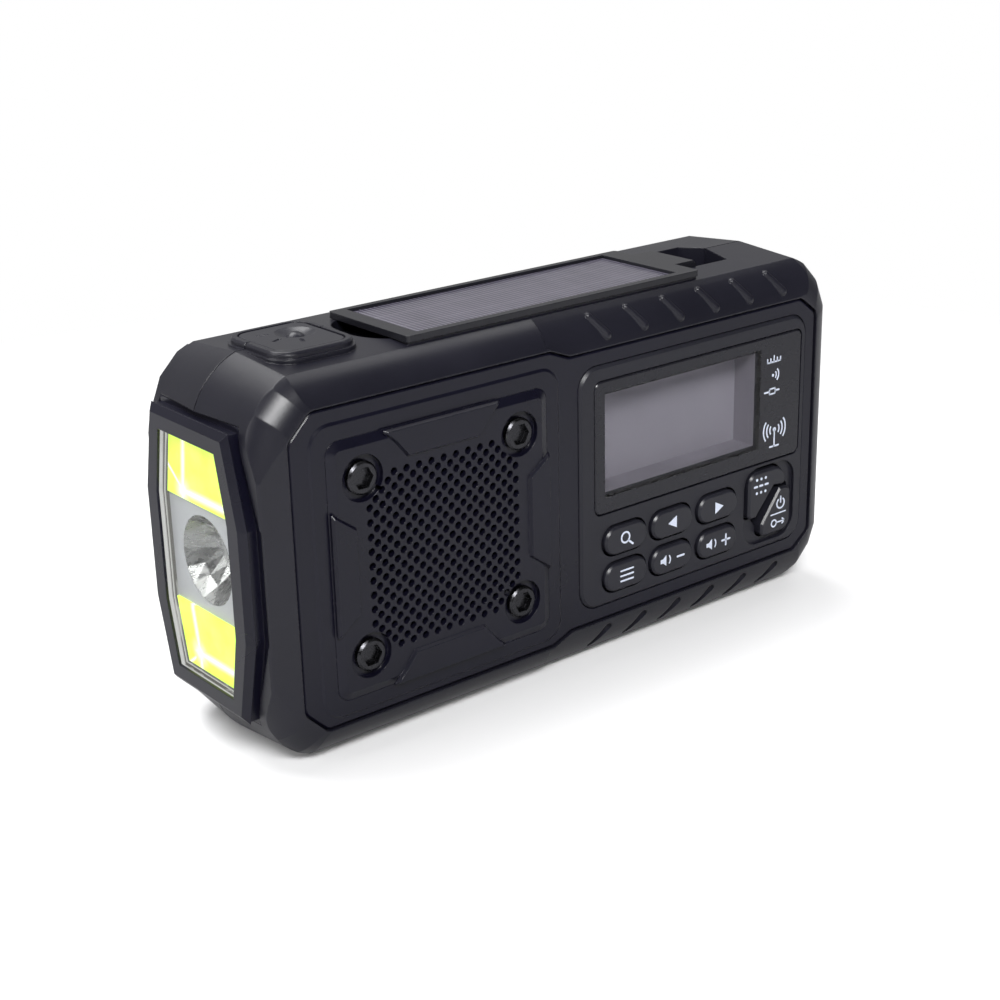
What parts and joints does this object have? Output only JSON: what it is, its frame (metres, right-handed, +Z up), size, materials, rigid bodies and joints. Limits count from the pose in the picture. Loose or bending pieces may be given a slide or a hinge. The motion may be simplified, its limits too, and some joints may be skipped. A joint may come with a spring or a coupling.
{
  "type": "emergency radio",
  "caption": "Rugged portable emergency radio: flat box with speaker grille, screen, keys, lamp end, solar flap over a reading lamp, fold-out charging crank and telescopic aerial.",
  "frame": {"origin": "centre of the flat underside of the rubber base pad, on the plane between the two casing halves", "axes": "+X along the length, towards the end with the charging socket (right, seen from the front); -Y towards the front with speaker and screen; +Z up, away from the base pad"},
  "size_m": [0.168, 0.0498, 0.0859],
  "materials": {
    "case_plastic": "fine satin texture",
    "fascia_plastic": "satin, slightly blue black",
    "panel_plastic": "fine matt texture",
    "key_plastic": "satin",
    "flap_plastic": "satin",
    "crank_plastic": "satin",
    "inner_plastic": "plain",
    "lcd_bezel": "pale grey, matt",
    "switch_plastic": "plain",
    "gear_acetal": "smooth natural acetal",
    "display_window": "smoke tint, gloss",
    "lcd_glass": "grey liquid crystal",
    "clear_lens": "clear",
    "diffuser": "frosted",
    "solar_glass": "silicon under clear cover",
    "silver_plate": "satin silver",
    "light_panel": "yellow phosphor gel",
    "reflector_chrome": "mirror, faceted",
    "aerial_chrome": "bright",
    "black_screw": "black oxide",
    "steel_pin": "ground",
    "steel_plate": "rolled",
    "dynamo_can": "drawn can",
    "rotor_steel": "machined",
    "speaker_metal": "black paint",
    "magnet_ferrite": "sintered ferrite",
    "cone_paper": "pressed paper",
    "circuit_board": "solder resist",
    "cell_wrap": "shrink sleeve",
    "base_rubber": "ribbed, matt",
    "cover_rubber": "soft, matt"
  },
  "bodies": {
    "casing": {"front_case": "case_plastic", "rear_case": "case_plastic", "case_screws": "black_screw", "base_pad": "base_rubber", "fascia": "fascia_plastic", "speaker_grille": "fascia_plastic", "grille_screws": "black_screw", "speaker_basket": "speaker_metal", "speaker_cone": "cone_paper", "speaker_magnet": "magnet_ferrite", "control_panel": "panel_plastic", "display_lens": "display_window", "lcd_frame": "lcd_bezel", "lcd_panel": "lcd_glass", "key_board": "circuit_board", "main_board": "circuit_board", "tact_switches": "switch_plastic", "lamp_bezel": "fascia_plastic", "lamp_lens": "clear_lens", "lamp_plate": "silver_plate", "cob_panels": "light_panel", "torch_reflector": "reflector_chrome", "torch_led": "light_panel", "lamp_board": "circuit_board", "flap_hinge_pin": "steel_pin", "reading_lamp_lens": "diffuser", "reading_lamp_board": "circuit_board", "idler_pin": "steel_pin", "dynamo_body": "dynamo_can", "gear_plate": "steel_plate", "battery_cells": "cell_wrap", "battery_tray": "inner_plastic", "port_block": "inner_plastic"},
    "flap": {"solar_flap": "flap_plastic", "solar_cell": "solar_glass"},
    "scan_key": {"scan_key": "key_plastic"},
    "menu_key": {"menu_key": "key_plastic"},
    "left_key": {"left_key": "key_plastic"},
    "right_key": {"right_key": "key_plastic"},
    "volume_down_key": {"volume_down_key": "key_plastic"},
    "volume_up_key": {"volume_up_key": "key_plastic"},
    "alarm_key": {"alarm_key": "key_plastic"},
    "power_key": {"power_key": "key_plastic"},
    "lamp_button": {"lamp_button": "key_plastic"},
    "crank_hub": {"crank_hub": "crank_plastic", "crank_fold_pin": "steel_pin", "drive_gear": "gear_acetal"},
    "crank_arm": {"crank_arm": "crank_plastic", "knob_pin": "steel_pin"},
    "crank_knob": {"crank_knob": "crank_plastic"},
    "idler_gear": {"idler_gear": "gear_acetal"},
    "dynamo_rotor": {"dynamo_rotor": "rotor_steel"},
    "aerial_base": {"aerial_base": "aerial_chrome", "aerial_elbow_pin": "steel_pin"},
    "aerial_tube": {"aerial_tube": "aerial_chrome"},
    "aerial_middle": {"aerial_middle": "aerial_chrome"},
    "aerial_upper": {"aerial_upper": "aerial_chrome"},
    "aerial_rod": {"aerial_rod": "aerial_chrome"},
    "port_cover": {"port_cover": "cover_rubber"}
  },
  "joints": [
    {"name": "flap_lift", "type": "hinge", "parent": "casing", "child": "flap", "pos_m": [0.0443, 0, 0.0814], "axis": [0, 1, 0], "range_deg": [0, 100]},
    {"name": "scan_key_press", "type": "slide", "parent": "casing", "child": "scan_key", "axis": [0, 1, 0], "range_m": [0, 0.0006]},
    {"name": "menu_key_press", "type": "slide", "parent": "casing", "child": "menu_key", "axis": [0, 1, 0], "range_m": [0, 0.0006]},
    {"name": "left_key_press", "type": "slide", "parent": "casing", "child": "left_key", "axis": [0, 1, 0], "range_m": [0, 0.0006]},
    {"name": "right_key_press", "type": "slide", "parent": "casing", "child": "right_key", "axis": [0, 1, 0], "range_m": [0, 0.0006]},
    {"name": "volume_down_key_press", "type": "slide", "parent": "casing", "child": "volume_down_key", "axis": [0, 1, 0], "range_m": [0, 0.0006]},
    {"name": "volume_up_key_press", "type": "slide", "parent": "casing", "child": "volume_up_key", "axis": [0, 1, 0], "range_m": [0, 0.0006]},
    {"name": "alarm_key_press", "type": "slide", "parent": "casing", "child": "alarm_key", "axis": [0, 1, 0], "range_m": [0, 0.0006]},
    {"name": "power_key_press", "type": "slide", "parent": "casing", "child": "power_key", "axis": [0, 1, 0], "range_m": [0, 0.0006]},
    {"name": "lamp_button_press", "type": "slide", "parent": "casing", "child": "lamp_button", "axis": [0, 0, -1], "range_m": [0, 0.0008]},
    {"name": "crank_turn", "type": "hinge", "parent": "casing", "child": "crank_hub", "pos_m": [0, 0.008, 0.0396], "axis": [0, 1, 0], "continuous": true},
    {"name": "crank_fold", "type": "hinge", "parent": "crank_hub", "child": "crank_arm", "pos_m": [0.013, 0.0229, 0.0396], "axis": [0, 0, -1], "range_deg": [0, 180]},
    {"name": "knob_spin", "type": "hinge", "parent": "crank_arm", "child": "crank_knob", "pos_m": [-0.0217, 0.012, 0.0396], "axis": [0, 1, 0], "continuous": true},
    {"name": "idler_turn", "type": "hinge", "parent": "casing", "child": "idler_gear", "pos_m": [0.01813, 0, 0.04805], "axis": [0, 1, 0], "continuous": true},
    {"name": "dynamo_turn", "type": "hinge", "parent": "casing", "child": "dynamo_rotor", "pos_m": [0.02733, 0, 0.06399], "axis": [0, 1, 0], "continuous": true},
    {"name": "aerial_swing", "type": "hinge", "parent": "casing", "child": "aerial_base", "pos_m": [-0.068, 0.0202, 0.0766], "axis": [0, -1, 0], "range_deg": [0, 90]},
    {"name": "aerial_tilt", "type": "hinge", "parent": "aerial_base", "child": "aerial_tube", "pos_m": [-0.06, 0.0202, 0.0766], "axis": [0, 0, 1], "range_deg": [0, 90]},
    {"name": "aerial_extend", "type": "slide", "parent": "aerial_tube", "child": "aerial_middle", "axis": [1, 0, 0], "range_m": [0, 0.105]},
    {"name": "aerial_upper_extend", "type": "slide", "parent": "aerial_middle", "child": "aerial_upper", "axis": [1, 0, 0], "range_m": [0, 0.105]},
    {"name": "aerial_rod_extend", "type": "slide", "parent": "aerial_upper", "child": "aerial_rod", "axis": [1, 0, 0], "range_m": [0, 0.105]},
    {"name": "port_cover_open", "type": "hinge", "parent": "casing", "child": "port_cover", "pos_m": [0.0824, 0, 0.0344], "axis": [0, 1, 0], "range_deg": [0, 105]}
  ],
  "couplings": [
    {"joint": "idler_turn", "follows": "crank_turn", "ratio": -4},
    {"joint": "dynamo_turn", "follows": "crank_turn", "ratio": 14.4},
    {"joint": "aerial_upper_extend", "follows": "aerial_extend", "ratio": 1},
    {"joint": "aerial_rod_extend", "follows": "aerial_extend", "ratio": 1}
  ]
}
